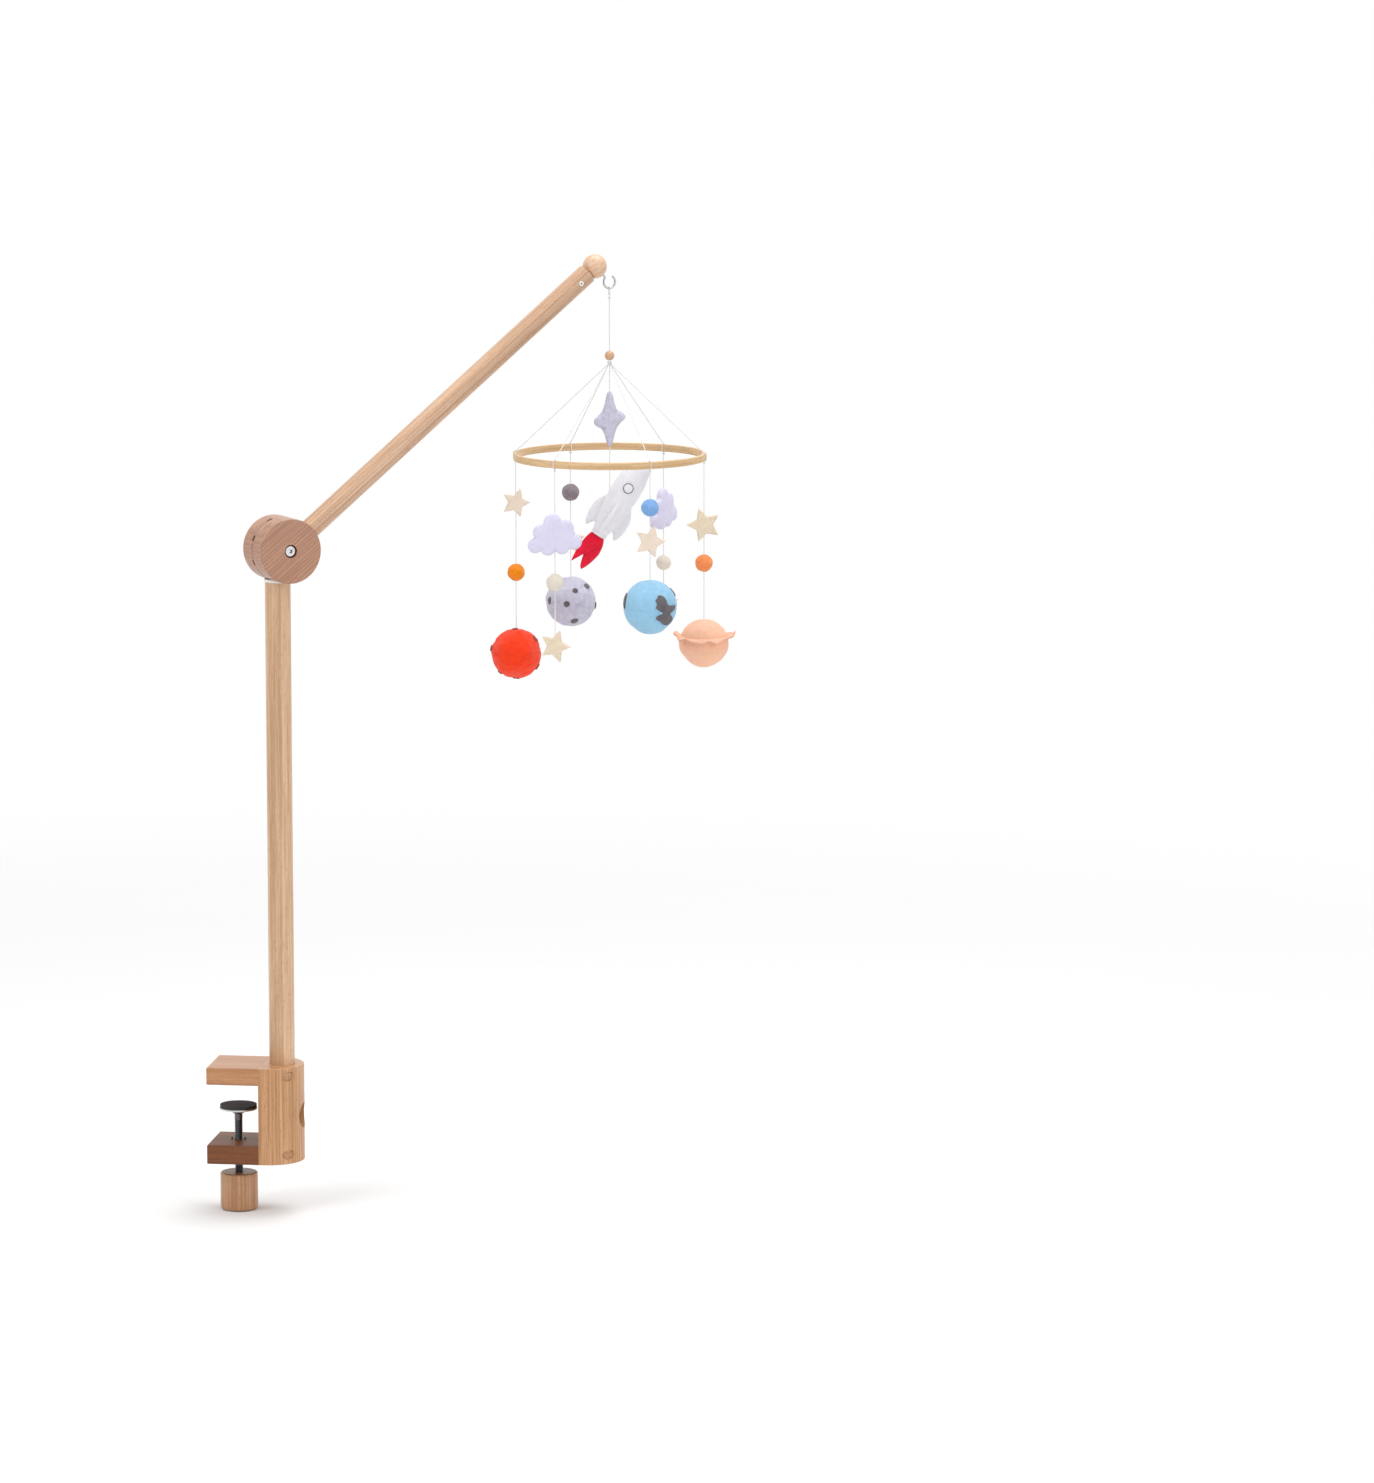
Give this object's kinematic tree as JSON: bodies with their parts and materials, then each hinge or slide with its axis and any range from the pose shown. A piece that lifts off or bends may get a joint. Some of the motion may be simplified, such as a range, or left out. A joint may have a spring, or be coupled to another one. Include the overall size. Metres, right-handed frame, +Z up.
{
  "type": "crib mobile",
  "caption": "Wooden clamp-on arm with a swivel knuckle and a cup hook, carrying a hoop mobile of felt space toys on cotton strings.",
  "frame": {"origin": "lower face of the top jaw, on the axis of the clamp screw", "axes": "+Z up along the post, +X from the jaws towards the half-round back of the clamp, +Y across the jaws"},
  "size_m": [0.4954, 0.3271, 0.9305],
  "materials": {
    "beech": "oiled, satin",
    "birch_hoop": "oiled, satin",
    "zinc_steel": "zinc plated",
    "bright_steel": "nickel plated",
    "brass_insert": "plain",
    "black_rubber": "matt",
    "white_plastic": "satin",
    "white_cotton": "twisted cotton",
    "cream_felt": "wool felt",
    "lavender_felt": "wool felt",
    "red_felt": "wool felt",
    "orange_felt": "wool felt",
    "blue_felt": "wool felt",
    "white_felt": "wool felt",
    "grey_felt": "wool felt",
    "salmon_felt": "wool felt",
    "peach_felt": "wool felt",
    "sky_felt": "wool felt",
    "moon_felt": "wool felt",
    "heather_felt": "wool felt",
    "crimson_felt": "wool felt"
  },
  "bodies": {
    "clamp": {"clamp_body": "beech", "top_jaw": "beech", "bottom_jaw": "beech", "jaw_screws": "zinc_steel", "screw_plugs": "beech", "tee_nut": "zinc_steel"},
    "pressure_pad": {"pressure_disc": "zinc_steel", "disc_pad": "black_rubber", "disc_hub": "zinc_steel"},
    "screw": {"clamp_screw": "zinc_steel", "clamp_knob": "beech"},
    "upright": {"post": "beech", "post_insert": "brass_insert"},
    "knuckle": {"rear_disc": "beech", "swivel_washer": "white_plastic", "swivel_stud": "zinc_steel", "pivot_insert": "brass_insert", "pivot_bolt": "bright_steel"},
    "arm": {"front_disc": "beech", "arm_rod": "beech", "end_ball": "beech", "arm_eyelet": "white_plastic", "cup_hook": "bright_steel"},
    "hanger": {"hang_loop": "white_cotton"},
    "line": {"main_line": "white_cotton", "bead": "beech"},
    "hoop_frame": {"hoop": "birch_hoop", "rigging": "white_cotton"},
    "saturn_strand": {"string_saturn": "white_cotton", "saturn_star": "cream_felt", "saturn_ball": "salmon_felt", "saturn": "peach_felt", "saturn_ring": "peach_felt"},
    "earth_strand": {"string_earth": "white_cotton", "earth_ball": "blue_felt", "earth_star": "cream_felt", "earth": "sky_felt"},
    "front_cloud_strand": {"string_front_cloud": "white_cotton", "front_cloud": "lavender_felt", "front_cloud_ball": "white_felt", "front_cloud_star": "cream_felt"},
    "planet_strand": {"string_planet": "white_cotton", "planet_star": "cream_felt", "planet_ball": "orange_felt", "planet": "red_felt"},
    "moon_strand": {"string_moon": "white_cotton", "moon_ball": "grey_felt", "moon_star": "cream_felt", "moon": "moon_felt"},
    "back_cloud_strand": {"string_back_cloud": "white_cotton", "back_cloud": "lavender_felt", "back_cloud_ball": "white_felt", "back_cloud_star": "cream_felt"},
    "rocket_strand": {"string_rocket": "white_cotton", "centre_star": "heather_felt", "rocket_hull": "white_felt", "rocket_window": "grey_felt", "rocket_fins": "white_felt", "rocket_collar": "white_felt", "rocket_flame": "crimson_felt"}
  },
  "joints": [
    {"name": "knob_turn", "type": "hinge", "parent": "pressure_pad", "child": "screw", "pos_m": [0, 0, -0.1], "axis": [0, 0, 1], "range_deg": [-6340, 3172]},
    {"name": "clamp_travel", "type": "slide", "parent": "clamp", "child": "pressure_pad", "axis": [0, 0, 1], "range_m": [-0.022, 0.011]},
    {"name": "post_lift", "type": "slide", "parent": "clamp", "child": "upright", "axis": [0, 0, 1], "range_m": [0, 0.03]},
    {"name": "knuckle_swivel", "type": "hinge", "parent": "upright", "child": "knuckle", "pos_m": [0.044, 0, 0.4945], "axis": [0, 0, 1], "continuous": true},
    {"name": "arm_tilt", "type": "hinge", "parent": "knuckle", "child": "arm", "pos_m": [0.044, 0, 0.526], "axis": [0.5519, -0.8339, 0], "range_deg": [-55, 20]},
    {"name": "hanger_level", "type": "hinge", "parent": "arm", "child": "hanger", "pos_m": [0.34569, 0.1721, 0.7731], "axis": [0.5519, -0.8339, 0], "range_deg": [-20.5, 55.5]},
    {"name": "mobile_swing", "type": "hinge", "parent": "hanger", "child": "line", "pos_m": [0.34569, 0.1721, 0.7578], "axis": [0.8339, 0.5519, 0], "range_deg": [-8, 8]},
    {"name": "mobile_spin", "type": "hinge", "parent": "line", "child": "hoop_frame", "pos_m": [0.34569, 0.1721, 0.6956], "axis": [0, 0, 1], "continuous": true},
    {"name": "saturn_swing", "type": "hinge", "parent": "hoop_frame", "child": "saturn_strand", "pos_m": [0.43898, 0.1765, 0.5962], "axis": [0.0471, -0.9989, 0], "range_deg": [-8, 20]},
    {"name": "earth_swing", "type": "hinge", "parent": "hoop_frame", "child": "earth_strand", "pos_m": [0.39615, 0.0935, 0.5962], "axis": [-0.8415, -0.5402, 0], "range_deg": [-8, 20]},
    {"name": "front_cloud_swing", "type": "hinge", "parent": "hoop_frame", "child": "front_cloud_strand", "pos_m": [0.30285, 0.0891, 0.5962], "axis": [-0.8886, 0.4586, 0], "range_deg": [-8, 20]},
    {"name": "planet_swing", "type": "hinge", "parent": "hoop_frame", "child": "planet_strand", "pos_m": [0.25239, 0.1677, 0.5962], "axis": [-0.0471, 0.9989, 0], "range_deg": [-8, 20]},
    {"name": "moon_swing", "type": "hinge", "parent": "hoop_frame", "child": "moon_strand", "pos_m": [0.29523, 0.2507, 0.5962], "axis": [0.8415, 0.5402, 0], "range_deg": [-8, 20]},
    {"name": "back_cloud_swing", "type": "hinge", "parent": "hoop_frame", "child": "back_cloud_strand", "pos_m": [0.38853, 0.2551, 0.5962], "axis": [0.8886, -0.4586, 0], "range_deg": [-8, 20]},
    {"name": "rocket_swing", "type": "hinge", "parent": "hoop_frame", "child": "rocket_strand", "pos_m": [0.34569, 0.1721, 0.6914], "axis": [0.9903, 0.1392, 0], "range_deg": [-5, 5]}
  ],
  "couplings": [
    {"joint": "knob_turn", "follows": "clamp_travel", "rad_per_m": 5026.5},
    {"joint": "hanger_level", "follows": "arm_tilt", "ratio": -1}
  ]
}
